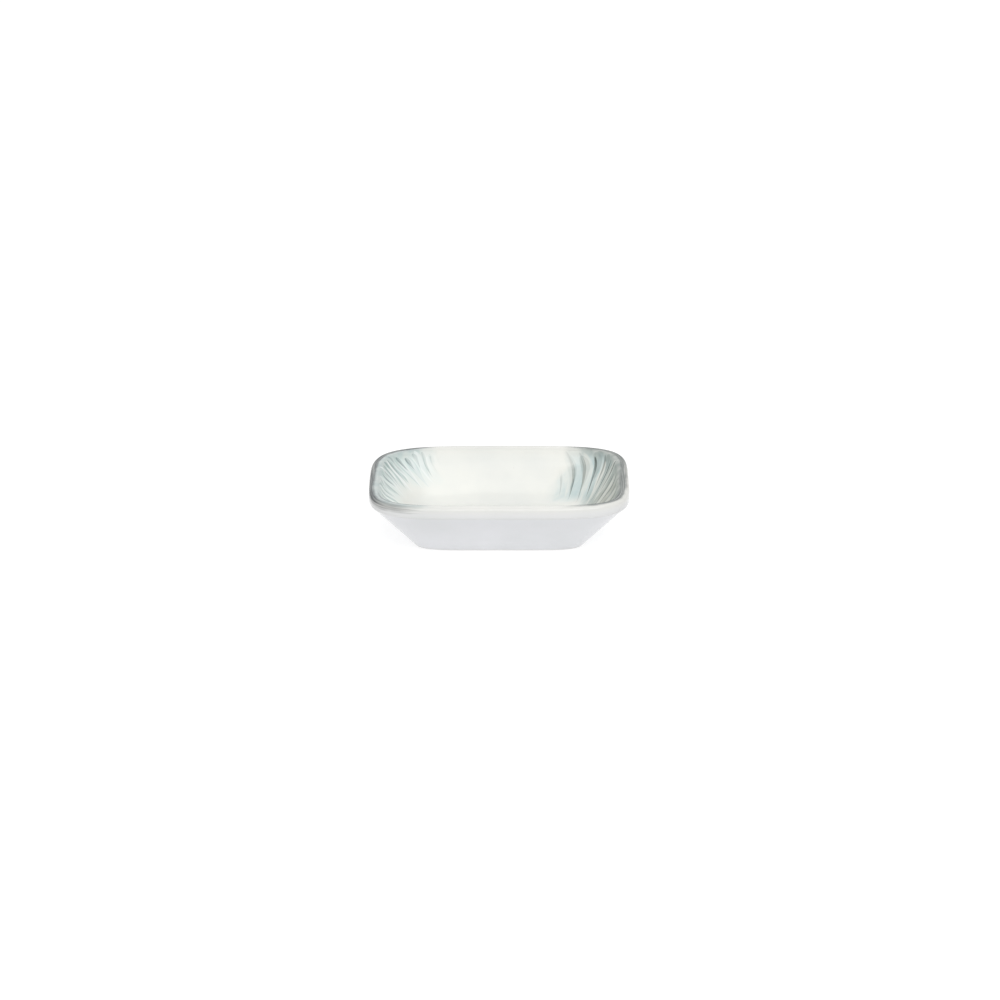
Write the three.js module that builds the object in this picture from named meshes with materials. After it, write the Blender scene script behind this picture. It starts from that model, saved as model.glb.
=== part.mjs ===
// A small, deep rectangular serving dish in glazed porcelain with fired colour at both ends.
// Millimetres, +Z up, X along the dish and Y across it. The origin is the middle of the foot, on the table.
// A pressed body carries one coat of glaze inside, one outside and one under the floor.
// Each end has a film of colour on its inner wall and a brushed line of colour on the lip above it.
import * as THREE from "three";

// Plan. Both outlines are superellipses: squareness 2 is an ellipse, and more is nearer a rectangle.
const RIM_LENGTH = 85; // over the lip, along X
const RIM_WIDTH = 60; // over the lip, along Y
const RIM_SQUARENESS = 4.5;
const FOOT_LENGTH = 55; // where the outer wall would meet the table
const FOOT_WIDTH = 30;
const FOOT_SQUARENESS = 5.7;

// Section, from the table up
const HEIGHT = 20.4; // table to the top of the lip
const FOOT_RECESS = 1; // height of the hollow under the floor
const FOOT_FACE = 2.2; // width of the face that stands on the table
const FOOT_SLOPE = 1; // run of the slope between the standing face and the hollow
const FOOT_ROUND = 1; // size of the rounded outer edge of the foot
const FLOOR_THICKNESS = 4.2;
const WALL_THICKNESS = 3.6;
const WELL_FILLET = 8; // radius between the floor and the wall, inside
const LIP_BAND = 3.8; // height of the upright band round the outside of the lip
const LIP_STEP = 0.4; // how far the band stands out from the wall below it
const LIP_STEP_RISE = 0.2; // how far the underside of the band slopes up
const LIP_THICKNESS = 3.6; // from the band to the inner edge of the lip
const LIP_OUTER_ROUND = 1.4;
const LIP_INNER_ROUND = 1.2;

// Coats
const GLAZE = 0.3;
const FIRED_COLOUR = 0.12; // thickness of the colour on the glaze
const LINE_DROP = 1; // how far the line on the lip comes down the band, below the rounded edge
const SEAT_GAP = 0.02; // between a coat and what it lies on
const GLAZE_EDGE_GAP = 0.1; // between the edge of the glaze and the bare foot
const COLOUR_REACH = 26; // how far the colour runs from each end along the long sides

// Facets
const END_COLUMNS = 9; // columns from the middle of an end to the limit of its colour
const SIDE_COLUMNS = 3; // columns from there to the middle of a long side
const CORNER_CROWDING = 0.5; // under 1 draws the columns together round the corners
const ROUND_STEPS = 2; // steps over each rounded edge
const FILLET_STEPS = 3; // steps over the fillet of the well

const RIM = { halfLength: RIM_LENGTH / 2, halfWidth: RIM_WIDTH / 2, squareness: RIM_SQUARENESS };
const FOOT = { halfLength: FOOT_LENGTH / 2, halfWidth: FOOT_WIDTH / 2, squareness: FOOT_SQUARENESS };
const QUARTER_TURN = Math.PI / 2;

// Values that follow from the section
const floorTop = FOOT_RECESS + FLOOR_THICKNESS;
const creaseHeight = HEIGHT - LIP_BAND;
const wallRun = RIM.halfLength - LIP_STEP - FOOT.halfLength;
const wallSlope = Math.atan2(creaseHeight, wallRun);
const wallAcross = WALL_THICKNESS / Math.sin(wallSlope); // the wall's thickness measured level
const wallTopInset = LIP_STEP + wallAcross;
const floorInset = wallAcross - (wallRun * floorTop) / creaseHeight;
const filletReach = WELL_FILLET * Math.tan(wallSlope / 2);
const outerWallLength = Math.hypot(creaseHeight, wallRun);
const innerWallLength = (outerWallLength * (creaseHeight - floorTop)) / creaseHeight;
const crestInset = (LIP_OUTER_ROUND + LIP_THICKNESS - LIP_INNER_ROUND) / 2; // where the two coats meet

// The turns about Z at which the columns stand. One of them falls on the limit of the colour.
function columnTurns() {
  const along = 1 - COLOUR_REACH / RIM.halfLength;
  const across = (1 - along ** RIM.squareness) ** (1 / RIM.squareness);
  const limit = Math.atan((across / along) ** (1 / CORNER_CROWDING));
  const quarter = [];
  for (let i = 0; i < END_COLUMNS; i++) {
    quarter.push((limit * i) / END_COLUMNS);
  }
  for (let i = 0; i <= SIDE_COLUMNS; i++) {
    quarter.push(limit + ((QUARTER_TURN - limit) * i) / SIDE_COLUMNS);
  }
  const turns = quarter.map((angle) => Math.atan(Math.tan(angle) ** CORNER_CROWDING));
  const rising = turns.slice(0, -1);
  const falling = turns.slice(1).reverse();
  return [
    ...rising,
    ...falling.map((turn) => Math.PI - turn),
    ...rising.map((turn) => Math.PI + turn),
    ...falling.map((turn) => 2 * Math.PI - turn),
  ];
}

const columns = columnTurns();

// The points of an outline at height z, moved in from its edge
function ring(outline, inset, z) {
  const { halfLength, halfWidth, squareness } = outline;
  return columns.map((turn) => {
    const along = Math.cos(turn);
    const across = Math.sin(turn);
    const size = (Math.abs(along) ** squareness + Math.abs(across) ** squareness) ** (1 / squareness);
    const out = new THREE.Vector2(
      (Math.sign(along) * Math.abs(along) ** (squareness - 1)) / halfLength,
      (Math.sign(across) * Math.abs(across) ** (squareness - 1)) / halfWidth,
    ).normalize();
    return new THREE.Vector3(
      (halfLength * along) / size - inset * out.x,
      (halfWidth * across) / size - inset * out.y,
      z,
    );
  });
}

// A ring drawn together to one point on the axis
function middle(z) {
  return columns.map(() => new THREE.Vector3(0, 0, z));
}

// The ring at a share of the way between two rings
function between(from, to, share) {
  return from.map((point, i) => point.clone().lerp(to[i], share));
}

// The ring at a share of the way round a rounded corner
function bend(from, corner, to, share) {
  return between(between(from, corner, share), between(corner, to, share), share);
}

// The finished surface as named rings, from the middle of the hollow, round the foot and up the wall,
// over the lip and down to the middle of the floor
function finishedRings() {
  const rings = new Map();
  const crease = ring(RIM, LIP_STEP, creaseHeight);

  const footCorner = ring(FOOT, 0, 0);
  const footOuterEdge = ring(FOOT, FOOT_ROUND, 0);
  const wallFoot = between(footCorner, crease, FOOT_ROUND / outerWallLength);
  const hollowInset = FOOT_ROUND + FOOT_FACE + FOOT_SLOPE;
  rings.set("hollow_middle", middle(FOOT_RECESS));
  rings.set("hollow_glaze_edge", ring(FOOT, hollowInset + GLAZE_EDGE_GAP, FOOT_RECESS));
  rings.set("hollow_edge", ring(FOOT, hollowInset, FOOT_RECESS));
  rings.set("foot_inner_edge", ring(FOOT, FOOT_ROUND + FOOT_FACE, 0));
  rings.set("foot_outer_edge", footOuterEdge);
  rings.set("bare_line", bend(footOuterEdge, footCorner, wallFoot, 1 / 2));
  rings.set("glaze_line", bend(footOuterEdge, footCorner, wallFoot, 1 / 2 + GLAZE_EDGE_GAP / FOOT_ROUND));

  rings.set("wall_foot", wallFoot);
  rings.set("outer_wall_middle", between(wallFoot, crease, 1 / 2));
  rings.set("crease", crease);
  rings.set("band_foot", ring(RIM, 0, creaseHeight + LIP_STEP_RISE));
  rings.set("line_edge", ring(RIM, 0, HEIGHT - LIP_OUTER_ROUND - LINE_DROP));

  for (let step = 0; step <= ROUND_STEPS; step++) {
    const turn = (QUARTER_TURN * step) / ROUND_STEPS;
    const inset = LIP_OUTER_ROUND * (1 - Math.cos(turn));
    rings.set(`outer_round_${step}`, ring(RIM, inset, HEIGHT - LIP_OUTER_ROUND * (1 - Math.sin(turn))));
  }
  rings.set("crest", ring(RIM, crestInset, HEIGHT));
  for (let step = 0; step <= ROUND_STEPS; step++) {
    const turn = (QUARTER_TURN * step) / ROUND_STEPS;
    const inset = LIP_THICKNESS - LIP_INNER_ROUND * (1 - Math.sin(turn));
    rings.set(`inner_round_${step}`, ring(RIM, inset, HEIGHT - LIP_INNER_ROUND * (1 - Math.cos(turn))));
  }

  const wallTop = ring(RIM, wallTopInset, creaseHeight);
  const floorCorner = ring(FOOT, floorInset, floorTop);
  const filletTop = between(floorCorner, wallTop, filletReach / innerWallLength);
  const floorEdge = ring(FOOT, floorInset + filletReach, floorTop);
  rings.set("wall_top", wallTop);
  rings.set("inner_wall_middle", between(wallTop, filletTop, 1 / 2));
  for (let step = 0; step <= FILLET_STEPS; step++) {
    rings.set(`fillet_${step}`, bend(filletTop, floorCorner, floorEdge, step / FILLET_STEPS));
  }
  rings.set("floor_middle", middle(floorTop));
  return rings;
}

// The unit normals of a grid of points, out of the material
function normalsOf(rows) {
  const last = rows.length - 1;
  return rows.map((row, k) =>
    row.map((point, i) => {
      if (k === 0) return new THREE.Vector3(0, 0, -1);
      if (k === last) return new THREE.Vector3(0, 0, 1);
      const arriving = point.clone().sub(rows[k - 1][i]).normalize();
      const leaving = rows[k + 1][i].clone().sub(point).normalize();
      const round = row[(i + 1) % row.length].clone().sub(row.at(i - 1));
      return round.cross(arriving.add(leaving)).normalize();
    }),
  );
}

const rings = finishedRings();
const names = [...rings.keys()];
const finished = [...rings.values()];
const normals = normalsOf(finished);

// The finished grid moved out of the material, or into it where the distance is negative
function moved(distance) {
  const step = (point, normal) => point.clone().addScaledVector(normal, distance);
  return finished.map((row, k) => row.map((point, i) => step(point, normals[k][i])));
}

const glazeUnderside = moved(-GLAZE);
const bodyUnderGlaze = moved(-GLAZE - SEAT_GAP);
const colourUnderside = moved(SEAT_GAP);
const colourTop = moved(SEAT_GAP + FIRED_COLOUR);

// The rows of a grid from one named ring to another
function span(rows, from, to) {
  return rows.slice(names.indexOf(from), names.indexOf(to) + 1);
}

// The triangles between two rows of points, each facet split from its first corner to its third
function strip(near, far, isRound) {
  const count = isRound ? near.length : near.length - 1;
  const triangles = [];
  for (let i = 0; i < count; i++) {
    const next = (i + 1) % near.length;
    triangles.push([near[i], near[next], far[next]]);
    triangles.push([near[i], far[next], far[i]]);
  }
  return triangles;
}

// The triangles of a grid of points
function sheet(rows, isRound) {
  return rows.slice(1).flatMap((row, k) => strip(rows[k], row, isRound));
}

// The same triangles facing the other way
function reversed(triangles) {
  return triangles.map(([a, b, c]) => [a, c, b]);
}

// The closed layer between an outer grid and an inner grid of points
function layer(outer, inner, isRound) {
  const triangles = [
    ...sheet(outer, isRound),
    ...reversed(sheet(inner, isRound)),
    ...reversed(strip(outer[0], inner[0], isRound)),
    ...strip(outer.at(-1), inner.at(-1), isRound),
  ];
  if (isRound) return triangles;
  const side = (rows, i) => rows.map((row) => row.at(i));
  return [
    ...triangles,
    ...strip(side(outer, 0), side(inner, 0), false),
    ...reversed(strip(side(outer, -1), side(inner, -1), false)),
  ];
}

// A named mesh of the triangles, without those that have drawn together to a line
function piece(name, material, triangles) {
  const full = triangles.filter(([a, b, c]) => !a.equals(b) && !b.equals(c) && !c.equals(a));
  const geometry = new THREE.BufferGeometry().setFromPoints(full.flat());
  geometry.computeVertexNormals();
  const mesh = new THREE.Mesh(geometry, material);
  mesh.name = name;
  return mesh;
}

// The pressed body: bare where it stands on the foot, and stepped in for the glaze everywhere else
function bodyTriangles() {
  const rows = [
    ...span(bodyUnderGlaze, "hollow_middle", "hollow_glaze_edge"),
    ...span(finished, "hollow_edge", "bare_line"),
    ...span(bodyUnderGlaze, "glaze_line", "floor_middle"),
  ];
  return sheet(rows, true);
}

// A coat of glaze from one named ring to another
function coatTriangles(from, to) {
  return layer(span(finished, from, to), span(glazeUnderside, from, to), true);
}

// A film of fired colour on the glaze, from one named ring to another, round the end at a middle column
function filmTriangles(from, to, middleColumn) {
  const count = columns.length;
  const filmColumns = Array.from(
    { length: 2 * END_COLUMNS + 1 },
    (_, i) => (middleColumn + i - END_COLUMNS + count) % count,
  );
  const part = (rows) => span(rows, from, to).map((row) => filmColumns.map((i) => row[i]));
  return layer(part(colourTop), part(colourUnderside), false);
}

const porcelain = new THREE.MeshStandardMaterial({ color: 0xe8e5dd, roughness: 0.8, metalness: 0 });
const creamGlaze = new THREE.MeshStandardMaterial({ color: 0xf2f3ee, roughness: 0.12, metalness: 0 });
const whiteGlaze = new THREE.MeshStandardMaterial({ color: 0xe8e9ec, roughness: 0.12, metalness: 0 });
const tealColour = new THREE.MeshStandardMaterial({ color: 0xc6d6d3, roughness: 0.2, metalness: 0 });
const greyColour = new THREE.MeshStandardMaterial({ color: 0xbcc4bd, roughness: 0.2, metalness: 0 });
const lineColour = new THREE.MeshStandardMaterial({ color: 0x97a5a2, roughness: 0.2, metalness: 0 });

const dish = new THREE.Group();
dish.add(
  piece("porcelain_body", porcelain, bodyTriangles()),
  piece("underside_glaze", whiteGlaze, coatTriangles("hollow_middle", "hollow_glaze_edge")),
  piece("outer_glaze", whiteGlaze, coatTriangles("glaze_line", "crest")),
  piece("inner_glaze", creamGlaze, coatTriangles("crest", "floor_middle")),
);
const printFoot = `fillet_${FILLET_STEPS - 1}`; // the colour stops on the fillet, short of the level floor
const ends = [
  { side: "right", column: 0, printColour: greyColour },
  { side: "left", column: columns.length / 2, printColour: tealColour },
];
for (const { side, column, printColour } of ends) {
  const line = filmTriangles("line_edge", "inner_round_0", column);
  const print = filmTriangles("inner_round_0", printFoot, column);
  dish.add(piece(`${side}_edge_line`, lineColour, line));
  dish.add(piece(`${side}_end_print`, printColour, print));
}

export default dish;
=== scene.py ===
import math

import bpy
import numpy as np
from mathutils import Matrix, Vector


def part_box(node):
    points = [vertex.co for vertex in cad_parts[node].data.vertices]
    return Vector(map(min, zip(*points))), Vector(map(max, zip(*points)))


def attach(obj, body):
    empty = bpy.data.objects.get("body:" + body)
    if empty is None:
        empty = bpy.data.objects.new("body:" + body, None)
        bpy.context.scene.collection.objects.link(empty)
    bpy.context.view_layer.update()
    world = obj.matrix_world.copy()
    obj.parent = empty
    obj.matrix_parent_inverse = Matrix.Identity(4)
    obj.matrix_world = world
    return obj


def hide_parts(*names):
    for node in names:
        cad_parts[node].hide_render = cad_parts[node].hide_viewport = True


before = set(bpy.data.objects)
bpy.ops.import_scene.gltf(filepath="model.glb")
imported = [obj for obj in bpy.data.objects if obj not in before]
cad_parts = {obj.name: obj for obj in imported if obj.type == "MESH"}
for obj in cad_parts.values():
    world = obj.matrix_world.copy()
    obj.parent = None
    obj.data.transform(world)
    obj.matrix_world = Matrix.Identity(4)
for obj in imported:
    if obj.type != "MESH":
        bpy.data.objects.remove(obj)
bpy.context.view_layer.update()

# A small deep rectangular dish in glazed porcelain, with brushed colour at both ends.
# Shapes are worked out in millimetres and written to the meshes in metres.
MM = 0.001

# Outlines of rim and foot from above: exponents of rounded rectangles, higher for a squarer one
RIM_SQUARENESS = 4.5
REAR_LEFT_SQUARENESS = 3.8  # in the photograph this corner is rounder than the others
FOOT_SQUARENESS = 5.7

# Section of the dish, in millimetres
FOOT_FACE = 2.2  # width of the standing ring
FOOT_SLOPE = 1.0  # run of the slope from the standing ring up into the hollow
WALL_THICKNESS = 3.6
WELL_FILLET = 8.0  # radius between the wall and the floor of the well
LIP_BAND = 3.8  # height of the upright lip
LIP_STEP = 0.4  # how far the lip stands out from the wall
LIP_STEP_RISE = 0.2
LIP_THICKNESS = 3.6
GLAZE = 0.3  # thickness of a coat of glaze
GLAZE_EDGE_GAP = 0.1  # from the hollow's edge to the glaze in the hollow
LINE_DROP = 1.0  # how far the colour on the lip reaches down past the lip's rounding
COLOUR_REACH = 26.0  # how far the colour reaches along the dish from its ends
COLOUR_FILLET_SHARE = 2 / 3  # and how far down the fillet

# How far the corners of the section are softened along their two sides, in millimetres
HOLLOW_SOFT = 0.7
FOOT_INNER_SOFT = 0.35
FOOT_ROUND = 1.0
CREASE_SOFT = (1.2, 0.2)  # below and above
BAND_SOFT = (0.22, 0.7)  # below and above
LIP_OUTER_ROUND = 1.5
LIP_INNER_ROUND = 1.3
WALL_TOP_SOFT = (2.0, 2.4)  # above and below

# Small unevenness of a pressed and glazed dish, in millimetres
LIP_WOBBLE = 0.07
LIP_WOBBLE_WAVE = 55.0
LIP_WOBBLE_SEED = 11
RIPPLE = 0.012
RIPPLE_WAVE = 9.0
RIPPLE_SEED = 23
WAVE_COUNT = 9  # waves in an unevenness
WAVE_SPREAD = (0.7, 1.4)  # and how their frequencies differ
GLAZE_BEAD = 0.06  # the glaze stops above the foot in a bead
GLAZE_BEAD_WIDTH = 0.5
COLOUR_FILM = 0.03
COLOUR_FILM_EDGE = 0.004
COLOUR_FEATHER = 2.5  # a film of colour thins out in this stretch

# Glaze draws thin on edges and stands deep in hollows, and the colour there is darkened, partly as
# painted shade on convex edges and in creases, within these distances in millimetres,
# and fully where the section turns by so many radians per millimetre
THIN_AND_SHADE_REACH = 0.8
THIN_AND_SHADE_BEND = 0.55
POOL_AND_SHADE_REACH = 1.6
POOL_AND_SHADE_BEND = 0.35

# Fineness of the meshes
COLUMNS = 256
ROW_STEP = 1.1  # in millimetres
CORNER_STEPS = 8
RIM_SAMPLES = 40 * COLUMNS  # steps in which the rim is measured
TINY = 1e-6


def solid_box(node):
    """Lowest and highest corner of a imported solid, in millimetres."""
    low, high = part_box(node)
    return np.array(low) / MM, np.array(high) / MM


outer_low, outer_high = solid_box("outer_glaze")
inner_low, inner_high = solid_box("inner_glaze")
hollow_low, hollow_high = solid_box("underside_glaze")
HOLLOW_INSET = FOOT_ROUND + FOOT_FACE + FOOT_SLOPE
RIM = (outer_high - outer_low)[:2]
FOOT = (hollow_high - hollow_low)[:2] + 2 * (HOLLOW_INSET + GLAZE_EDGE_GAP)
HEIGHT = inner_high[2]
FLOOR_TOP = inner_low[2] + GLAZE
HOLLOW_TOP = hollow_low[2]
CREASE_HEIGHT = HEIGHT - LIP_BAND

wall_run = (RIM - FOOT)[0] / 2 - LIP_STEP
wall_slope = math.atan2(CREASE_HEIGHT, wall_run)
wall_across = WALL_THICKNESS / math.sin(wall_slope)
floor_inset = wall_across - wall_run * FLOOR_TOP / CREASE_HEIGHT
fillet_reach = WELL_FILLET * math.tan(wall_slope / 2)
crest_inset = (LIP_OUTER_ROUND + LIP_THICKNESS - LIP_INNER_ROUND) / 2


def plan_outline(size, squareness, turns, inset=0.0):
    """Plan points of a rounded rectangle, moved in from its edge."""
    unit = np.stack([np.cos(turns), np.sin(turns)], axis=1)
    half = np.asarray(size) / 2
    power = np.broadcast_to(squareness, turns.shape)[:, None]
    stretch = (np.abs(unit) ** power).sum(axis=1, keepdims=True) ** (-1 / power)
    out = np.sign(unit) * np.abs(unit) ** (power - 1) / half
    out /= np.linalg.norm(out, axis=1)[:, None]
    return unit * stretch * half - inset * out


def rim_outline(turns, inset=0.0):
    """Plan points of the rim, moved in from its edge."""
    is_rear_left = (np.cos(turns) < 0) & (np.sin(turns) > 0)
    squareness = np.where(is_rear_left, REAR_LEFT_SQUARENESS, RIM_SQUARENESS)
    return plan_outline(RIM, squareness, turns, inset)


def even_turns():
    """Turns about Z that stand evenly along the rim, and the distance between them there."""
    fine = np.linspace(0, 2 * math.pi, RIM_SAMPLES + 1)
    steps = np.diff(rim_outline(fine), axis=0)
    run = np.concatenate([[0], np.cumsum(np.linalg.norm(steps, axis=1))])
    step = run[-1] / COLUMNS
    return np.interp(step * np.arange(COLUMNS), run, fine), step


turns, column_step = even_turns()


def rim_row(inset, z):
    """A row of points round the dish, moved in from the rim."""
    return np.column_stack([rim_outline(turns, inset), np.full(COLUMNS, z)])


def foot_row(inset, z):
    """A row of points round the dish, moved in from the foot."""
    outline = plan_outline(FOOT, FOOT_SQUARENESS, turns, inset)
    return np.column_stack([outline, np.full(COLUMNS, z)])


def middle_row(z):
    """A row drawn together on the axis."""
    return np.tile([0.0, 0.0, z], (COLUMNS, 1))


def section_corners():
    """The section's corners from under the floor to its top: name, row, softness before and after."""
    return [
        ("hollow_middle", middle_row(HOLLOW_TOP), 0, 0),
        ("hollow_edge", foot_row(HOLLOW_INSET, HOLLOW_TOP), HOLLOW_SOFT, HOLLOW_SOFT),
        ("foot_inner", foot_row(FOOT_ROUND + FOOT_FACE, 0), FOOT_INNER_SOFT, FOOT_INNER_SOFT),
        ("foot_outer", foot_row(0, 0), FOOT_ROUND, FOOT_ROUND),
        ("crease", rim_row(LIP_STEP, CREASE_HEIGHT), *CREASE_SOFT),
        ("band_foot", rim_row(0, CREASE_HEIGHT + LIP_STEP_RISE), *BAND_SOFT),
        ("line_edge", rim_row(0, HEIGHT - LIP_OUTER_ROUND - LINE_DROP), 0, 0),
        ("lip_outer", rim_row(0, HEIGHT), LIP_OUTER_ROUND, LIP_OUTER_ROUND),
        ("crest", rim_row(crest_inset, HEIGHT), 0, 0),
        ("lip_inner", rim_row(LIP_THICKNESS, HEIGHT), LIP_INNER_ROUND, LIP_INNER_ROUND),
        ("wall_top", rim_row(LIP_STEP + wall_across, CREASE_HEIGHT), *WALL_TOP_SOFT),
        ("floor_corner", foot_row(floor_inset, FLOOR_TOP), fillet_reach, fillet_reach),
        ("floor_middle", middle_row(FLOOR_TOP), 0, 0),
    ]


def towards(start, end, distance):
    """The row a distance away from one row, on the way to another."""
    way = end - start
    return start + way * (distance / np.linalg.norm(way, axis=1))[:, None]


def rounded_rows(corners):
    """Rows of points through the corners, softened, and each corner's first, middle and last row."""
    rows = [corners[0][1]]
    marks = {}
    for k in range(1, len(corners)):
        name, corner, before, after = corners[k]
        start = towards(corner, corners[k - 1][1], before) if before else corner
        begun = rows[-1]
        count = max(1, round(np.linalg.norm(start - begun, axis=1).mean() / ROW_STEP))
        rows += [begun + (start - begun) * (i / count) for i in range(1, count + 1)]
        first = len(rows) - 1
        if after:
            end = towards(corner, corners[k + 1][1], after)
            for i in range(1, CORNER_STEPS + 1):
                t = i / CORNER_STEPS
                rows.append((1 - t) ** 2 * start + 2 * t * (1 - t) * corner + t**2 * end)
        marks[name] = (first, (first + len(rows) - 1) // 2, len(rows) - 1)
    return np.array(rows), marks


def soft_waves(points, length, seed):
    """A smooth uneven field, mostly between -1 and 1, whose waves have about the given length."""
    rng = np.random.default_rng(seed)
    total = np.zeros(points.shape[:-1])
    for _ in range(WAVE_COUNT):
        way = rng.normal(size=3)
        way *= 2 * math.pi * rng.uniform(*WAVE_SPREAD) / (length * np.linalg.norm(way))
        total += np.sin(points @ way + rng.uniform(0, 2 * math.pi))
    return total / math.sqrt(WAVE_COUNT)


def grid_normals(rows):
    """Unit normals of the rows of points, out of the material."""
    along = np.gradient(rows, axis=0)
    around = np.roll(rows, -1, axis=1) - np.roll(rows, 1, axis=1)
    normals = np.cross(around, along)
    normals[0] = (0, 0, -1)
    normals[-1] = (0, 0, 1)
    return normals / np.linalg.norm(normals, axis=2)[:, :, None]


surface, marks = rounded_rows(section_corners())
bare_first = marks["hollow_edge"][1]
glaze_line = marks["foot_outer"][1]
line_first = marks["line_edge"][0]
crest = marks["crest"][0]
print_first = marks["lip_inner"][0]
fillet_first, _, fillet_last = marks["floor_corner"]
print_last = fillet_first + round((fillet_last - fillet_first) * COLOUR_FILLET_SHARE)
floor_middle = len(surface) - 1

# Distance of each row along the section from the crest of the lip: minus outside, plus in the well
row_steps = np.linalg.norm(np.diff(surface, axis=0), axis=2).mean(axis=1)
section_run = np.concatenate([[0], np.cumsum(row_steps)])
section_run -= section_run[crest]

# The lip of a pressed dish is never quite level, and the glaze lies on it in slow ripples.
is_glazed = np.ones(len(surface))
is_glazed[bare_first:glaze_line] = 0
rise = (surface[..., 2] / HEIGHT) ** 2
wobble = soft_waves(surface * (1, 1, 0), LIP_WOBBLE_WAVE, LIP_WOBBLE_SEED)
surface[..., 2] += LIP_WOBBLE * rise * wobble
past_glaze_line = (section_run - section_run[glaze_line]) / GLAZE_BEAD_WIDTH
bead = GLAZE_BEAD * np.exp(-((past_glaze_line - 1) ** 2))
swell = RIPPLE * soft_waves(surface, RIPPLE_WAVE, RIPPLE_SEED) + bead[:, None]
surface += grid_normals(surface) * (swell * is_glazed[:, None])[..., None]
normals = grid_normals(surface)


def section_bend():
    """How sharply the section turns at each row, in radians per millimetre: plus on edges."""
    lean = np.gradient(normals, axis=0)
    way = np.gradient(surface, axis=0)
    length = np.maximum(np.linalg.norm(way, axis=2), TINY)
    return ((lean * way).sum(axis=2) / length**2).mean(axis=1)


def blurred(values, reach):
    """Values along the section, blurred over a distance in millimetres."""
    weights = np.exp(-(((section_run[:, None] - section_run[None, :]) / reach) ** 2))
    weights *= np.gradient(section_run)[None, :]
    return weights @ values / weights.sum(axis=1)


bend = section_bend()
# Painted shade: convex edges and concave creases are darkened in the glaze colour, beside real thin and
# pooled glaze
thin_glaze_and_edge_shade = np.clip(blurred(np.clip(bend, 0, 1), THIN_AND_SHADE_REACH) / THIN_AND_SHADE_BEND, 0, 1)
pooled_glaze_and_crease_shade = np.clip(blurred(np.clip(-bend, 0, 1), POOL_AND_SHADE_REACH) / POOL_AND_SHADE_BEND, 0, 1)


# Meshes
def vertex_numbers(points, first):
    """Vertex numbers of a grid, one for a row drawn together, and the grid places that have one."""
    numbers = np.zeros(points.shape[:2], dtype=int)
    kept = []
    for k, row in enumerate(points):
        is_pole = np.ptp(row, axis=0).max() < TINY
        for i in range(len(row)):
            if i == 0 or not is_pole:
                kept.append((k, i))
            numbers[k, i] = first + len(kept) - 1
    return numbers, kept


def sheet_faces(numbers, is_round):
    """Faces between neighbouring rows of vertex numbers: triangles where a row is drawn together."""
    faces = []
    rows, count = numbers.shape
    for k in range(rows - 1):
        for i in range(count if is_round else count - 1):
            j = (i + 1) % count
            loop = (numbers[k, i], numbers[k, j], numbers[k + 1, j], numbers[k + 1, i])
            corners = list(dict.fromkeys(int(n) for n in loop))
            if len(corners) > 2:
                faces.append(corners)
    return faces


def reversed_faces(faces):
    """The faces turned to look the other way."""
    return [face[::-1] for face in faces]


def layer_faces(top, bottom, is_round):
    """Faces of a layer between two grids of vertex numbers, closed along its edges."""
    faces = sheet_faces(top, is_round)
    faces += reversed_faces(sheet_faces(bottom, is_round))
    faces += reversed_faces(sheet_faces(np.stack([top[0], bottom[0]]), is_round))
    faces += sheet_faces(np.stack([top[-1], bottom[-1]]), is_round)
    if not is_round:
        faces += sheet_faces(np.stack([top[:, 0], bottom[:, 0]]), False)
        faces += reversed_faces(sheet_faces(np.stack([top[:, -1], bottom[:, -1]]), False))
    return faces


def add_piece(name, node, material, sides, faces, first_row, run):
    """A piece of the dish from its sides, each a grid of points, their normals and the places kept.
    Its points know their place on the section and along the rim, how the glaze stands there,
    and how much painted shade darkens edges and creases there."""
    points, shading, values = [], [], []
    for side_points, side_normals, kept in sides:
        for k, i in kept:
            row = first_row + k
            points.append(tuple(side_points[k, i] * MM))
            shading.append(tuple(side_normals[k, i]))
            values.append((section_run[row], thin_glaze_and_edge_shade[row], pooled_glaze_and_crease_shade[row], run[i]))
    mesh = bpy.data.meshes.new(name)
    mesh.from_pydata(points, [], faces)
    mesh.polygons.foreach_set("use_smooth", [True] * len(mesh.polygons))
    for key, numbers in zip(("section_mm", "thin_glaze_and_edge_shade", "pooled_glaze_and_crease_shade", "run_mm"), zip(*values)):
        mesh.attributes.new(key, "FLOAT", "POINT").data.foreach_set("value", numbers)
    mesh.normals_split_custom_set_from_vertices(shading)
    mesh.materials.append(material)
    piece = bpy.data.objects.new(name, mesh)
    bpy.context.scene.collection.objects.link(piece)
    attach(piece, "root")
    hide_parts(node)


def add_body(name, node, material):
    """The pressed body: bare on the foot, and set back under the glaze everywhere else."""
    points = surface - normals * (GLAZE * is_glazed)[:, None, None]
    numbers, kept = vertex_numbers(points, 0)
    faces = sheet_faces(numbers, True)
    add_piece(name, node, material, [(points, normals, kept)], faces, 0, np.zeros(COLUMNS))


def add_layer(name, node, material, top, bottom, shading, first_row, run, is_round):
    """A closed layer between two grids of points."""
    top_numbers, top_kept = vertex_numbers(top, 0)
    bottom_numbers, bottom_kept = vertex_numbers(bottom, len(top_kept))
    faces = layer_faces(top_numbers, bottom_numbers, is_round)
    sides = [(top, shading, top_kept), (bottom, -shading, bottom_kept)]
    add_piece(name, node, material, sides, faces, first_row, run)


def add_coat(name, node, material, first, last):
    """A coat of glaze between two rows of the section."""
    top = surface[first : last + 1]
    shading = normals[first : last + 1]
    bottom = top - GLAZE * shading
    add_layer(name, node, material, top, bottom, shading, first, np.zeros(COLUMNS), True)


# The colour of an end lies on the columns within its reach, counted from the middle of the end.
rim_quarter = rim_outline(turns[: COLUMNS // 4])
end_columns = int((rim_quarter[:, 0] > RIM[0] / 2 - COLOUR_REACH).sum()) - 1
end_places = np.arange(-end_columns, end_columns + 1)
RUN_LIMIT = end_columns * column_step
DEPTH_LIMIT = section_run[print_last]


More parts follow.
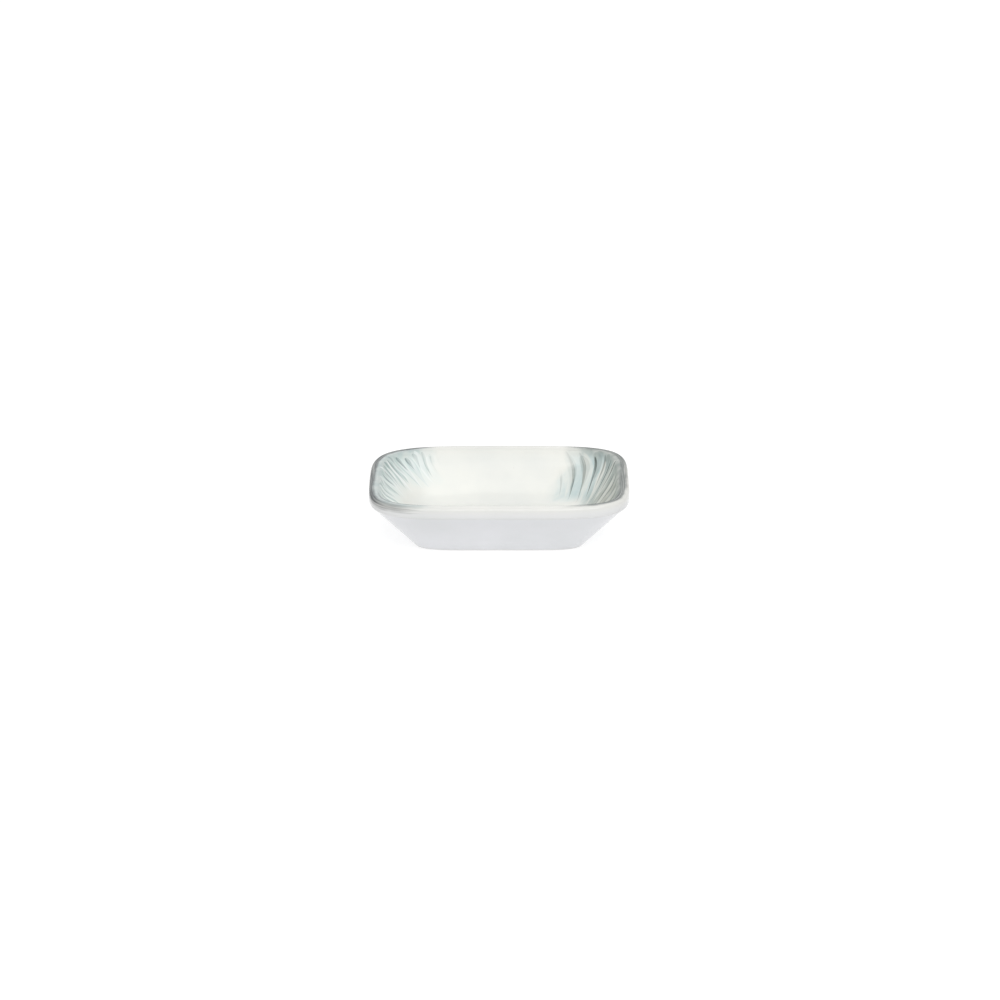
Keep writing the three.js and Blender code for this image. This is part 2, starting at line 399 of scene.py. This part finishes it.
def add_film(name, node, material, first, last, middle_column, front_way):
    """A film of colour on the glaze round one end, drawn out thin at the limits of the colour."""
    columns = (middle_column + end_places) % COLUMNS
    run = front_way * end_places * column_step
    rows = section_run[first : last + 1]
    to_limit = np.minimum(rows - section_run[line_first], DEPTH_LIMIT - rows)
    to_side = RUN_LIMIT - np.abs(run)
    share = np.clip(np.minimum(to_limit[:, None], to_side[None, :]) / COLOUR_FEATHER, 0, 1)
    height = COLOUR_FILM_EDGE + (COLOUR_FILM - COLOUR_FILM_EDGE) * share
    base = surface[first : last + 1][:, columns]
    shading = normals[first : last + 1][:, columns]
    top = base + shading * height[..., None]
    bottom = base - shading * COLOUR_FILM_EDGE
    add_layer(name, node, material, top, bottom, shading, first, run, False)


# Materials
def linear(colour):
    """An sRGB hex colour as linear RGBA."""
    parts = [int(colour[i : i + 2], 16) / 255 for i in (1, 3, 5)]
    return [c / 12.92 if c <= 0.04045 else ((c + 0.055) / 1.055) ** 2.4 for c in parts] + [1.0]


def add(tree, kind, inputs=None, **settings):
    """Adds a node with its settings, and sets or links its inputs."""
    made = tree.nodes.new(kind)
    for key, value in settings.items():
        setattr(made, key, value)
    for key, value in (inputs or {}).items():
        if isinstance(value, bpy.types.NodeSocket):
            tree.links.new(value, made.inputs[key])
        else:
            made.inputs[key].default_value = value
    return made


def new_material(name):
    """A material with an empty node tree, and that tree."""
    material = bpy.data.materials.new(name)
    material.use_nodes = True
    material.node_tree.nodes.clear()
    return material, material.node_tree


def per_mm(size):
    """The scale of a texture in object metres whose features are so many millimetres across."""
    return 1 / (size * MM)


# The kinds of node that are used most, and the places of the colour sockets on a Mix node
MATH = "ShaderNodeMath"
MAP_RANGE = "ShaderNodeMapRange"
MIX = "ShaderNodeMix"
NOISE = "ShaderNodeTexNoise"
ATTRIBUTE = "ShaderNodeAttribute"
UNDER, OVER, MIXED = 6, 7, 2

# Colours of glaze and porcelain
CREAM = linear("#F4F4EE")
# The outside white is a cool glaze tint, darkened with painted shade for the downward-facing outside
COOL_SHADED_WHITE = linear("#E8E9EC")
# Painted light: the outside wall is whitened towards the foot, standing in for light thrown up by the
# table
TABLE_LIT_WHITE = linear("#F3F4F7")
# Painted shade on convex edges, partly real thin glaze
THIN_EDGE_AND_SHADE = linear("#DEDDD7")
# Painted shade in creases and hollows, partly real pooled glaze; the faint random clouds use this tone
# too
POOLED_AND_SHADED = linear("#D8DCDB")
SPECK = linear("#B8AB97")
PORCELAIN = linear("#E3DFD5")
PORCELAIN_STAIN = linear("#C4BEB2")

# Places on the section where the glaze's tone and its painted light change, in millimetres from the crest
# of the lip
OUTSIDE_FROM = -6.0  # outwards from here the glaze has its outside tone, which is partly painted shade
INSIDE_FROM = 0.5  # and inwards from here its inside tone
TABLE_LIGHT_FROM = -9.0  # painted light from the table whitens the outside wall from here
TABLE_LIGHT_FULL_AT = -27.0  # and is full down to here, above the foot

# Sizes in the finish of glaze and porcelain, in millimetres
CLOUD_SIZE = 16.0
SPECK_SPACING = 7.0
SPECK_CORE = 0.042
SPECK_EDGE = 0.245
HAZE_SIZE = 5.0
PEEL_SIZE = 1.6
PEEL_DEPTH = 0.012
GRIT_SIZE = 0.35  # real grit is about 0.05 across, and is drawn coarser so that it shows
GRIT_DEPTH = 0.03
STAIN_SIZE = 4.0

# How strongly these show, where 1 is wholly
CLOUD_SHARE = 0.35
# The next two shares carry painted shade in creases and on edges
POOL_AND_SHADE_SHARE = 0.35
THIN_AND_SHADE_SHARE = 0.4
SPECK_SHARE = 0.22
STAIN_SHARE = 0.5
PEEL_STRENGTH = 0.25
GRIT_STRENGTH = 0.6

# Gloss: glaze is a clear glass, and bare porcelain is matt
GLAZE_IOR = 1.52
GLAZE_ROUGHNESS = (0.1, 0.17)
PORCELAIN_IOR = 1.5
PORCELAIN_ROUGHNESS = (0.7, 0.9)


# Noise is mostly between 0.3 and 0.7. The ranges of noise in the materials say how much of it shows.
def glaze_colour(tree):
    """The colour of the glaze: cream inside, and outside a cool white that is partly painted shade,
    with painted light that whitens the outside wall towards the foot, painted shade on edges and in
    hollows over real thin and pooled glaze, and a few faint specks."""
    section = add(tree, ATTRIBUTE, attribute_name="section_mm").outputs["Fac"]
    edge_shade = add(tree, ATTRIBUTE, attribute_name="thin_glaze_and_edge_shade").outputs["Fac"]
    crease_shade = add(tree, ATTRIBUTE, attribute_name="pooled_glaze_and_crease_shade").outputs["Fac"]
    place = add(tree, "ShaderNodeTexCoord").outputs["Object"]
    # Cream inside; the cool outside tone carries painted shade
    inside = add(tree, MAP_RANGE, {"Value": section, "From Min": OUTSIDE_FROM, "From Max": INSIDE_FROM},
                 interpolation_type="SMOOTHSTEP").outputs["Result"]
    skin = add(tree, MIX, {"Factor": inside, UNDER: COOL_SHADED_WHITE, OVER: CREAM},
               data_type="RGBA").outputs[MIXED]
    # Painted light from the table, whiter towards the foot
    table_light = add(tree, MAP_RANGE, {"Value": section, "From Min": TABLE_LIGHT_FULL_AT,
                                     "From Max": TABLE_LIGHT_FROM, "To Min": 1.0,
                                     "To Max": 0.0}).outputs["Result"]
    base = add(tree, MIX, {"Factor": table_light, UNDER: skin, OVER: TABLE_LIT_WHITE},
               data_type="RGBA").outputs[MIXED]
    cloud = add(tree, NOISE, {"Vector": place, "Scale": per_mm(CLOUD_SIZE), "Detail": 3.0})
    clouded = add(tree, MAP_RANGE, {"Value": cloud.outputs["Fac"], "From Min": 0.35, "From Max": 0.75,
                                    "To Max": CLOUD_SHARE}).outputs["Result"]
    # Painted shade in creases and hollows, over real pooled glaze and faint random clouds
    shade_and_cloud = add(tree, MATH, {0: crease_shade, 1: POOL_AND_SHADE_SHARE, 2: clouded}, operation="MULTIPLY_ADD",
                 use_clamp=True).outputs[0]
    deep_and_shaded = add(tree, MIX, {"Factor": shade_and_cloud, UNDER: base, OVER: POOLED_AND_SHADED}, data_type="RGBA").outputs[MIXED]
    # Painted shade dims the convex edges, over real thin glaze
    edge_shade_share = add(tree, MATH, {0: edge_shade, 1: THIN_AND_SHADE_SHARE}, operation="MULTIPLY").outputs[0]
    edge_shaded = add(tree, MIX, {"Factor": edge_shade_share, UNDER: deep_and_shaded, OVER: THIN_EDGE_AND_SHADE},
               data_type="RGBA").outputs[MIXED]
    spots = add(tree, "ShaderNodeTexVoronoi", {"Vector": place, "Scale": per_mm(SPECK_SPACING)})
    spotted = add(tree, MAP_RANGE, {"Value": spots.outputs["Distance"],
                                    "From Min": SPECK_CORE / SPECK_SPACING,
                                    "From Max": SPECK_EDGE / SPECK_SPACING,
                                    "To Min": SPECK_SHARE, "To Max": 0.0}).outputs["Result"]
    return add(tree, MIX, {"Factor": spotted, UNDER: edge_shaded, OVER: SPECK}, data_type="RGBA").outputs[MIXED]


def glaze_surface(tree, colour, dullness=0.0):
    """The surface of a glaze: a hard clear skin with a slight haze and a fine orange peel."""
    place = add(tree, "ShaderNodeTexCoord").outputs["Object"]
    haze = add(tree, NOISE, {"Vector": place, "Scale": per_mm(HAZE_SIZE), "Detail": 4.0}).outputs["Fac"]
    hazed = add(tree, MAP_RANGE, {"Value": haze, "From Min": 0.3, "From Max": 0.7,
                                  "To Min": GLAZE_ROUGHNESS[0],
                                  "To Max": GLAZE_ROUGHNESS[1]}).outputs["Result"]
    rough = add(tree, MATH, {0: hazed, 1: dullness}, operation="ADD").outputs[0]
    peel = add(tree, NOISE, {"Vector": place, "Scale": per_mm(PEEL_SIZE), "Detail": 2.0}).outputs["Fac"]
    bump = add(tree, "ShaderNodeBump", {"Height": peel, "Strength": PEEL_STRENGTH,
                                        "Distance": PEEL_DEPTH * MM}).outputs["Normal"]
    shader = add(tree, "ShaderNodeBsdfPrincipled", {"Base Color": colour, "Roughness": rough,
                                                    "IOR": GLAZE_IOR, "Normal": bump})
    add(tree, "ShaderNodeOutputMaterial", {"Surface": shader.outputs["BSDF"]})


def glossy_glaze(name):
    """Clear glossy glaze over porcelain: a soft deep white under a hard shine."""
    material, tree = new_material(name)
    glaze_surface(tree, glaze_colour(tree))
    return material


def bare_porcelain(name):
    """Bare fired porcelain on the foot: matt, of very fine grit, greyed where it stands on tables."""
    material, tree = new_material(name)
    place = add(tree, "ShaderNodeTexCoord").outputs["Object"]
    grit = add(tree, NOISE, {"Vector": place, "Scale": per_mm(GRIT_SIZE), "Detail": 4.0}).outputs["Fac"]
    stain = add(tree, NOISE, {"Vector": place, "Scale": per_mm(STAIN_SIZE), "Detail": 5.0})
    stained = add(tree, MAP_RANGE, {"Value": stain.outputs["Fac"], "From Min": 0.45, "From Max": 0.8,
                                    "To Max": STAIN_SHARE}).outputs["Result"]
    colour = add(tree, MIX, {"Factor": stained, UNDER: PORCELAIN, OVER: PORCELAIN_STAIN},
                 data_type="RGBA").outputs[MIXED]
    rough = add(tree, MAP_RANGE, {"Value": grit, "To Min": PORCELAIN_ROUGHNESS[0],
                                  "To Max": PORCELAIN_ROUGHNESS[1]}).outputs["Result"]
    bump = add(tree, "ShaderNodeBump", {"Height": grit, "Strength": GRIT_STRENGTH,
                                        "Distance": GRIT_DEPTH * MM}).outputs["Normal"]
    shader = add(tree, "ShaderNodeBsdfPrincipled", {"Base Color": colour, "Roughness": rough,
                                                    "IOR": PORCELAIN_IOR, "Normal": bump})
    add(tree, "ShaderNodeOutputMaterial", {"Surface": shader.outputs["BSDF"]})
    return material


# Brushed colour, in millimetres: along the rim from the middle of an end, and down the section
UNEVEN_SIZE = 6.0  # features of the slow unevenness of borders and lines
BORDER_WANDER = 8.0  # how unevenly the colour stops along the long sides
BORDER_SOFT = 12.0  # the stretch in which it fades there
BORDER_END = RUN_LIMIT + 1  # where it would be gone without the wander, which ends it sooner
FOOT_WANDER = 6.0  # how unevenly it stops down the wall
WASH_FROM = -0.5  # the wash begins here, from the middle of the first line on the lip
WASH_FULL = 0.8  # and is full here
PATCH_SIZE = 4.5  # watery patches in the wash
PATCH_LEAST = 0.55  # and the share of the wash that is left in the palest
LIP_TINT = 1.2  # the wash is darkest on the lip, down to here
LIP_TINT_SOFT = 3.0  # and has its own tone after this stretch
TINT_TURN = 25.0  # the wash changes from its rear tint in this stretch before the middle of the end
STROKE_TOP = 0.8  # from the crest of the lip to where strokes may begin
STROKE_START = 3.0  # and the stretch in which they all do
STROKE_SOFT = 1 / 6  # the share of a stroke's width in which its edge fades
STROKE_LEAST = 0.55  # the load of the driest stroke, where the wettest has 1
SWAY_SIZE = 15.0  # waves in which strokes sway
HAIR_WIDTH = 0.4  # single hairs of a brush mark about 0.15, and are drawn coarser so that they show
HAIR_LENGTH = 6.0  # length of their marks in a stroke
LINE_HAIR_LENGTH = 16.0  # the brush is drawn further along the lip than down the wall
LINE_WANDER = 1.2  # how far a line on the lip strays from its middle
LINE_TURN = 16.0  # a line moves from its rear place to its front place between these distances
LINE_SOFT = 12.0  # the stretch in which a line runs dry
LINE_CORE = 0.4  # a line is full within this share of its half width
LINE_EDGE = 1.4  # and gone past this share
LINE_LOAD = 0.6  # how much a wet brush adds to the marks of its hairs
COLOUR_DULLNESS = 0.06  # fired colour is a little rougher than the glaze


def film_places(tree):
    """A point of a film: its distance along the rim and down the section, both, and an unevenness."""
    run = add(tree, ATTRIBUTE, attribute_name="run_mm").outputs["Fac"]
    section = add(tree, ATTRIBUTE, attribute_name="section_mm").outputs["Fac"]
    place = add(tree, "ShaderNodeCombineXYZ", {"X": run, "Y": section}).outputs[0]
    uneven = add(tree, NOISE, {"Vector": place, "Scale": 1 / UNEVEN_SIZE, "Detail": 3.0}).outputs["Fac"]
    return run, section, place, uneven


def border_shares(tree, run, section, uneven, fade, foot):
    """1 on the colour and less towards its borders: on the long sides, and on these and down the wall."""
    away = add(tree, MATH, {0: run}, operation="ABSOLUTE").outputs[0]
    aside = add(tree, MATH, {0: uneven, 1: BORDER_WANDER, 2: away}, operation="MULTIPLY_ADD").outputs[0]
    side = add(tree, MAP_RANGE, {"Value": aside, "From Min": BORDER_END - BORDER_SOFT,
                                 "From Max": BORDER_END, "To Min": 1.0, "To Max": 0.0},
               interpolation_type="SMOOTHSTEP").outputs["Result"]
    down = add(tree, MATH, {0: uneven, 1: FOOT_WANDER, 2: section}, operation="MULTIPLY_ADD").outputs[0]
    fall = add(tree, MAP_RANGE, {"Value": down, "From Min": fade, "From Max": foot,
                                 "To Min": 1.0, "To Max": 0.0},
               interpolation_type="SMOOTHSTEP").outputs["Result"]
    return side, add(tree, MATH, {0: side, 1: fall}, operation="MULTIPLY").outputs[0]


def line_middle(tree, run, rear, front):
    """The place down the section of a line on the lip, which may differ at the rear and at the front."""
    return add(tree, MAP_RANGE, {"Value": run, "From Min": -LINE_TURN, "From Max": LINE_TURN,
                                 "To Min": rear, "To Max": front}).outputs["Result"]


def wash_share(tree, run, section, border, line):
    """How strongly the wash covers a point: within its borders, and inwards from a line on the lip."""
    outer = line_middle(tree, run, line["rear"], line["front"])
    past = add(tree, MATH, {0: section, 1: outer}, operation="SUBTRACT").outputs[0]
    below = add(tree, MAP_RANGE, {"Value": past, "From Min": WASH_FROM, "From Max": WASH_FULL})
    return add(tree, MATH, {0: border, 1: below.outputs["Result"]}, operation="MULTIPLY").outputs[0]


def wash_tint(tree, run, section, wash, rear_wash, lip_wash):
    """The colour of the wash, which has other tints at the rear and on the lip."""
    to_front = add(tree, MAP_RANGE, {"Value": run, "From Min": -TINT_TURN, "From Max": 0.0})
    tint = add(tree, MIX, {"Factor": to_front.outputs["Result"], UNDER: linear(rear_wash),
                           OVER: linear(wash)}, data_type="RGBA").outputs[MIXED]
    to_wall = add(tree, MAP_RANGE, {"Value": section, "From Min": LIP_TINT,
                                    "From Max": LIP_TINT + LIP_TINT_SOFT})
    return add(tree, MIX, {"Factor": to_wall.outputs["Result"], UNDER: linear(lip_wash), OVER: tint},
               data_type="RGBA").outputs[MIXED]


def hair_marks(tree, across, depth, dryness):
    """1 where the hairs of the brush left colour in the strokes, and less between them."""
    hairs = add(tree, "ShaderNodeCombineXYZ", {"X": across, "Y": depth}).outputs[0]
    drawn = add(tree, "ShaderNodeVectorMath", {0: hairs, 1: (1 / HAIR_WIDTH, 1 / HAIR_LENGTH, 1.0)},
                operation="MULTIPLY").outputs[0]
    bristle = add(tree, NOISE, {"Vector": drawn, "Scale": 1.0, "Detail": 3.0}).outputs["Fac"]
    return add(tree, MAP_RANGE, {"Value": bristle, "From Min": 0.38, "From Max": 0.6,
                                 "To Min": dryness}).outputs["Result"]


def stroke_share(tree, across, depth, spacing, width, belly, shortest, longest, strength, seed):
    """How strongly a row of tapering strokes down the wall covers a point. The width is a share of
    the spacing, and the smaller the belly, the nearer to its top a stroke is widest."""
    cells = add(tree, MATH, {0: across, 1: spacing}, operation="DIVIDE").outputs[0]
    number = add(tree, MATH, {0: cells}, operation="FLOOR").outputs[0]
    key = add(tree, "ShaderNodeCombineXYZ", {"X": number, "Y": float(seed)}).outputs[0]
    chance = add(tree, "ShaderNodeTexWhiteNoise", {"Vector": key}).outputs["Color"]
    chances = add(tree, "ShaderNodeSeparateColor", {0: chance}).outputs
    length = add(tree, MAP_RANGE, {"Value": chances[0], "To Min": shortest,
                                   "To Max": longest}).outputs["Result"]
    start = add(tree, MATH, {0: chances[1], 1: -STROKE_START, 2: depth},
                operation="MULTIPLY_ADD").outputs[0]
    used = add(tree, MATH, {0: start, 1: length}, operation="DIVIDE", use_clamp=True).outputs[0]
    bellied = add(tree, MATH, {0: used, 1: belly}, operation="POWER").outputs[0]
    angle = add(tree, MATH, {0: bellied, 1: math.pi}, operation="MULTIPLY").outputs[0]
    swing = add(tree, MATH, {0: angle}, operation="SINE").outputs[0]
    inside = add(tree, MATH, {0: cells}, operation="FRACT").outputs[0]
    centred = add(tree, MATH, {0: inside, 1: 0.5}, operation="SUBTRACT").outputs[0]
    aside = add(tree, MATH, {0: centred}, operation="ABSOLUTE").outputs[0]
    half = add(tree, MATH, {0: swing, 1: width / 2}, operation="MULTIPLY").outputs[0]
    within = add(tree, MATH, {0: half, 1: aside}, operation="SUBTRACT").outputs[0]
    fill = add(tree, MAP_RANGE, {"Value": within, "From Max": width * STROKE_SOFT, "To Max": strength},
               interpolation_type="SMOOTHSTEP").outputs["Result"]
    load = add(tree, MAP_RANGE, {"Value": chances[2], "To Min": STROKE_LEAST}).outputs["Result"]
    return add(tree, MATH, {0: fill, 1: load}, operation="MULTIPLY").outputs[0]


def line_share(tree, run, section, place, uneven, rear, front, half_width, begin, end, strength):
    """How strongly a line along the lip covers a point: it strays a little, and runs dry at both ends.
    Rear and front are its places down the section, begin and end those along the rim."""
    middle = line_middle(tree, run, rear + LINE_WANDER / 2, front + LINE_WANDER / 2)
    strayed = add(tree, MATH, {0: uneven, 1: LINE_WANDER, 2: section}, operation="MULTIPLY_ADD")
    beside = add(tree, MATH, {0: strayed.outputs[0], 1: middle}, operation="SUBTRACT").outputs[0]
    off = add(tree, MATH, {0: beside}, operation="ABSOLUTE").outputs[0]
    line = add(tree, MAP_RANGE, {"Value": off, "From Min": LINE_CORE * half_width,
                                 "From Max": LINE_EDGE * half_width, "To Min": strength, "To Max": 0.0},
               interpolation_type="SMOOTHSTEP").outputs["Result"]
    centred = add(tree, MATH, {0: run, 1: (begin + end) / 2}, operation="SUBTRACT").outputs[0]
    along = add(tree, MATH, {0: centred}, operation="ABSOLUTE").outputs[0]
    ink = add(tree, MAP_RANGE, {"Value": along, "From Min": (end - begin) / 2 - LINE_SOFT,
                                "From Max": (end - begin) / 2,
                                "To Min": 1.0, "To Max": 0.0}).outputs["Result"]
    drawn = add(tree, "ShaderNodeVectorMath", {0: place, 1: (1 / LINE_HAIR_LENGTH, 1 / HAIR_WIDTH, 1.0)},
                operation="MULTIPLY").outputs[0]
    hairs = add(tree, NOISE, {"Vector": drawn, "Scale": 1.0, "Detail": 3.0}).outputs["Fac"]
    wet = add(tree, MATH, {0: ink, 1: LINE_LOAD, 2: hairs}, operation="MULTIPLY_ADD").outputs[0]
    marked = add(tree, MAP_RANGE, {"Value": wet, "From Min": 0.68, "From Max": 1.15}).outputs["Result"]
    return add(tree, MATH, {0: line, 1: marked}, operation="MULTIPLY").outputs[0]


def brushed_colour(name, wash, rear_wash, lip_wash, fade, foot, lean, sway, dryness, strokes, lines,
                   line_tone):
    """Colour brushed on the glaze and fired in: a thin watery wash, dry tapering strokes, and lines.
    Down the section the wash thins from fade on and is gone at foot. Strokes lean by so many
    millimetres along the rim for each one down, and sway by up to so many. Dryness is what they keep
    between the marks of the brush's hairs."""
    material, tree = new_material(name)
    run, section, place, uneven = film_places(tree)
    side, border = border_shares(tree, run, section, uneven, fade, foot)

    washed = wash_share(tree, run, section, border, lines[0])
    patchy = add(tree, NOISE, {"Vector": place, "Scale": 1 / PATCH_SIZE, "Detail": 2.0}).outputs["Fac"]
    patches = add(tree, MAP_RANGE, {"Value": patchy, "From Min": 0.3, "From Max": 0.65,
                                    "To Min": PATCH_LEAST}).outputs["Result"]
    share = add(tree, MATH, {0: washed, 1: patches}, operation="MULTIPLY").outputs[0]
    tint = wash_tint(tree, run, section, wash, rear_wash, lip_wash)
    colour = add(tree, MIX, {"Factor": share, UNDER: glaze_colour(tree), OVER: tint},
                 data_type="RGBA").outputs[MIXED]

    depth = add(tree, MATH, {0: section, 1: STROKE_TOP}, operation="SUBTRACT").outputs[0]
    slow = add(tree, NOISE, {"Vector": place, "Scale": 1 / SWAY_SIZE, "Detail": 0.0}).outputs["Fac"]
    swayed = add(tree, MATH, {0: slow, 1: sway, 2: run}, operation="MULTIPLY_ADD").outputs[0]
    across = add(tree, MATH, {0: depth, 1: lean, 2: swayed}, operation="MULTIPLY_ADD").outputs[0]
    marked = hair_marks(tree, across, depth, dryness)
    loaded = add(tree, MATH, {0: marked, 1: side}, operation="MULTIPLY").outputs[0]
    for tone, stroke in strokes:
        fill = stroke_share(tree, across, depth, **stroke)
        share = add(tree, MATH, {0: fill, 1: loaded}, operation="MULTIPLY").outputs[0]
        colour = add(tree, MIX, {"Factor": share, UNDER: colour, OVER: linear(tone)},
                     data_type="RGBA").outputs[MIXED]
    for line in lines:
        share = line_share(tree, run, section, place, uneven, **line)
        colour = add(tree, MIX, {"Factor": share, UNDER: colour, OVER: linear(line_tone)},
                     data_type="RGBA").outputs[MIXED]

    dull = add(tree, MATH, {0: washed, 1: COLOUR_DULLNESS}, operation="MULTIPLY").outputs[0]
    glaze_surface(tree, colour, dull)
    return material


# The dish
bare = bare_porcelain("bare_fired_porcelain")
cream_glaze = glossy_glaze("cream_glossy_glaze")
white_glaze = glossy_glaze("white_glossy_glaze")
teal = brushed_colour(
    "teal_brushed_colour", wash="#EAF5F2", rear_wash="#DFECEA", lip_wash="#B6C4C3",
    fade=10.0, foot=20.0, lean=0.45, sway=7.0, dryness=0.4,
    strokes=[
        ("#ADC1BF", dict(spacing=4.6, width=0.85, belly=0.55, shortest=8, longest=15,
                         strength=0.85, seed=3)),
        ("#F8FBFA", dict(spacing=3.9, width=0.8, belly=0.6, shortest=7, longest=16,
                         strength=0.95, seed=8)),
        ("#7C9193", dict(spacing=3.3, width=0.55, belly=0.45, shortest=4, longest=12,
                         strength=0.85, seed=17)),
    ],
    lines=[
        dict(rear=-0.6, front=-1.5, half_width=1.15, begin=-RUN_LIMIT, end=30, strength=1.0),
        dict(rear=-1.6, front=-1.9, half_width=1.7, begin=2, end=42, strength=0.52),
        dict(rear=0.8, front=0.8, half_width=0.4, begin=8, end=RUN_LIMIT, strength=0.55),
    ],
    line_tone="#3C4447")
grey = brushed_colour(
    "grey_brushed_colour", wash="#AFB0A3", rear_wash="#C4D6D7", lip_wash="#98A19C",
    fade=19.0, foot=26.0, lean=-0.6, sway=4.0, dryness=0.55,
    strokes=[
        ("#8F9A95", dict(spacing=6.3, width=0.8, belly=0.5, shortest=8, longest=17,
                         strength=0.75, seed=29)),
        ("#F2F2EB", dict(spacing=9.5, width=0.66, belly=0.7, shortest=13, longest=20,
                         strength=1.0, seed=5)),
        ("#535E59", dict(spacing=5.4, width=0.32, belly=0.5, shortest=9, longest=20,
                         strength=1.0, seed=41)),
    ],
    lines=[dict(rear=-0.7, front=0.6, half_width=1.3, begin=-RUN_LIMIT, end=RUN_LIMIT, strength=1.0)],
    line_tone="#59625F")

add_body("body_porcelain", "porcelain_body", bare)
add_coat("glaze_underneath", "underside_glaze", white_glaze, 0, bare_first)
add_coat("glaze_outside", "outer_glaze", white_glaze, glaze_line, crest)
add_coat("glaze_inside", "inner_glaze", cream_glaze, crest, floor_middle)
for side, slot, material, column, front_way in (
    ("left", "teal_colour", teal, COLUMNS // 2, 1),
    ("right", "grey_colour", grey, 0, -1),
):
    add_film(f"line_on_{side}_lip", f"{side}_edge_line", material,
             line_first, print_first, column, front_way)
    add_film(f"colour_on_{side}_end", f"{side}_end_print", material,
             print_first, print_last, column, front_way)


# Table and light, in metres and watts
TABLE_HALF = 3.0
TABLE_PAINT = linear("#B9B9B9")
TABLE_GLOW = 0.43  # light that the table sends to the dish
TABLE_SHOWN = 0.68  # and what it adds to its lit paint, to show white to the lens
WORLD_LEVEL = 0.6
WORLD_SHOWN = 1.0


def seen_rays(tree):
    """1 on the rays that show a thing to the lens, straight or by a reflection, else 0."""
    rays = add(tree, "ShaderNodeLightPath").outputs
    seen = add(tree, MATH, {0: rays["Is Camera Ray"], 1: rays["Is Glossy Ray"]}, operation="MAXIMUM")
    return add(tree, MATH, {0: seen.outputs[0], 1: rays["Is Transmission Ray"]},
               operation="MAXIMUM").outputs[0]


def studio_white(name):
    """Matt white shooting table: it takes a soft shadow, and shows white to the lens."""
    material, tree = new_material(name)
    glow = add(tree, MAP_RANGE, {"Value": seen_rays(tree), "To Min": TABLE_GLOW, "To Max": TABLE_SHOWN})
    paint = add(tree, "ShaderNodeBsdfDiffuse", {"Color": TABLE_PAINT})
    light = add(tree, "ShaderNodeEmission", {"Strength": glow.outputs["Result"]})
    both = add(tree, "ShaderNodeAddShader", {0: paint.outputs[0], 1: light.outputs[0]})
    add(tree, "ShaderNodeOutputMaterial", {"Surface": both.outputs[0]})
    return material


def add_table():
    """A wide level table that the dish stands on."""
    corners = [(x * TABLE_HALF, y * TABLE_HALF, 0) for x, y in ((-1, -1), (1, -1), (1, 1), (-1, 1))]
    mesh = bpy.data.meshes.new("shooting_table")
    mesh.from_pydata(corners, [], [(0, 1, 2, 3)])
    mesh.materials.append(studio_white("matt_studio_white"))
    table = bpy.data.objects.new("shooting_table", mesh)
    bpy.context.scene.collection.objects.link(table)


def add_softbox(name, place, size, power):
    """A soft rectangular lamp that faces the dish."""
    lamp = bpy.data.lights.new(name, "AREA")
    lamp.shape = "RECTANGLE"
    lamp.size, lamp.size_y = size
    lamp.energy = power
    box = bpy.data.objects.new(name, lamp)
    bpy.context.scene.collection.objects.link(box)
    box.location = place
    box.rotation_euler = (-box.location).to_track_quat("-Z", "Y").to_euler()


def add_world():
    """An even white room, which shows as white and lights the dish less."""
    world = bpy.data.worlds.new("white_studio")
    world.use_nodes = True
    tree = world.node_tree
    tree.nodes.clear()
    seen = seen_rays(tree)
    level = add(tree, MAP_RANGE, {"Value": seen, "To Min": WORLD_LEVEL, "To Max": WORLD_SHOWN})
    light = add(tree, "ShaderNodeBackground", {"Strength": level.outputs["Result"]})
    add(tree, "ShaderNodeOutputWorld", {"Surface": light.outputs[0]})
    bpy.context.scene.world = world


# The photograph's view: from the front, about 21 degrees above the table, through a long lens
CAMERA_ELEVATION = math.radians(20.8)
CAMERA_DISTANCE = 1.245  # in metres
CAMERA_LENS = 136.4
CAMERA_SENSOR = 36.0
CAMERA_CLIP = (0.05, 20.0)  # in metres
AIM_RIGHT = 0.26  # from the middle of the dish to the middle of the picture, in millimetres
AIM_UP = 1.67


def add_camera():
    """The camera at the photograph's viewing angle."""
    data = bpy.data.cameras.new("camera")
    data.sensor_width = CAMERA_SENSOR
    data.lens = CAMERA_LENS
    data.clip_start, data.clip_end = CAMERA_CLIP
    camera = bpy.data.objects.new("camera", data)
    bpy.context.scene.collection.objects.link(camera)
    back = np.array([0, -math.cos(CAMERA_ELEVATION), math.sin(CAMERA_ELEVATION)])
    up = np.array([0, math.sin(CAMERA_ELEVATION), math.cos(CAMERA_ELEVATION)])
    aim = (np.array([AIM_RIGHT, 0, HEIGHT / 2]) + AIM_UP * up) * MM
    camera.location = aim + back * CAMERA_DISTANCE
    camera.rotation_euler = (math.pi / 2 - CAMERA_ELEVATION, 0, 0)
    bpy.context.scene.camera = camera


add_table()
add_world()
add_softbox("softbox_front", place=(0.2, -1.0, 1.0), size=(1.4, 1.1), power=9.4)
add_softbox("softbox_above", place=(0.1, 0.1, 1.4), size=(1.2, 1.2), power=3.4)
add_softbox("softbox_back", place=(-0.2, 1.1, 0.9), size=(1.2, 0.9), power=2.0)
add_camera()
bpy.context.scene.view_settings.view_transform = "Standard"
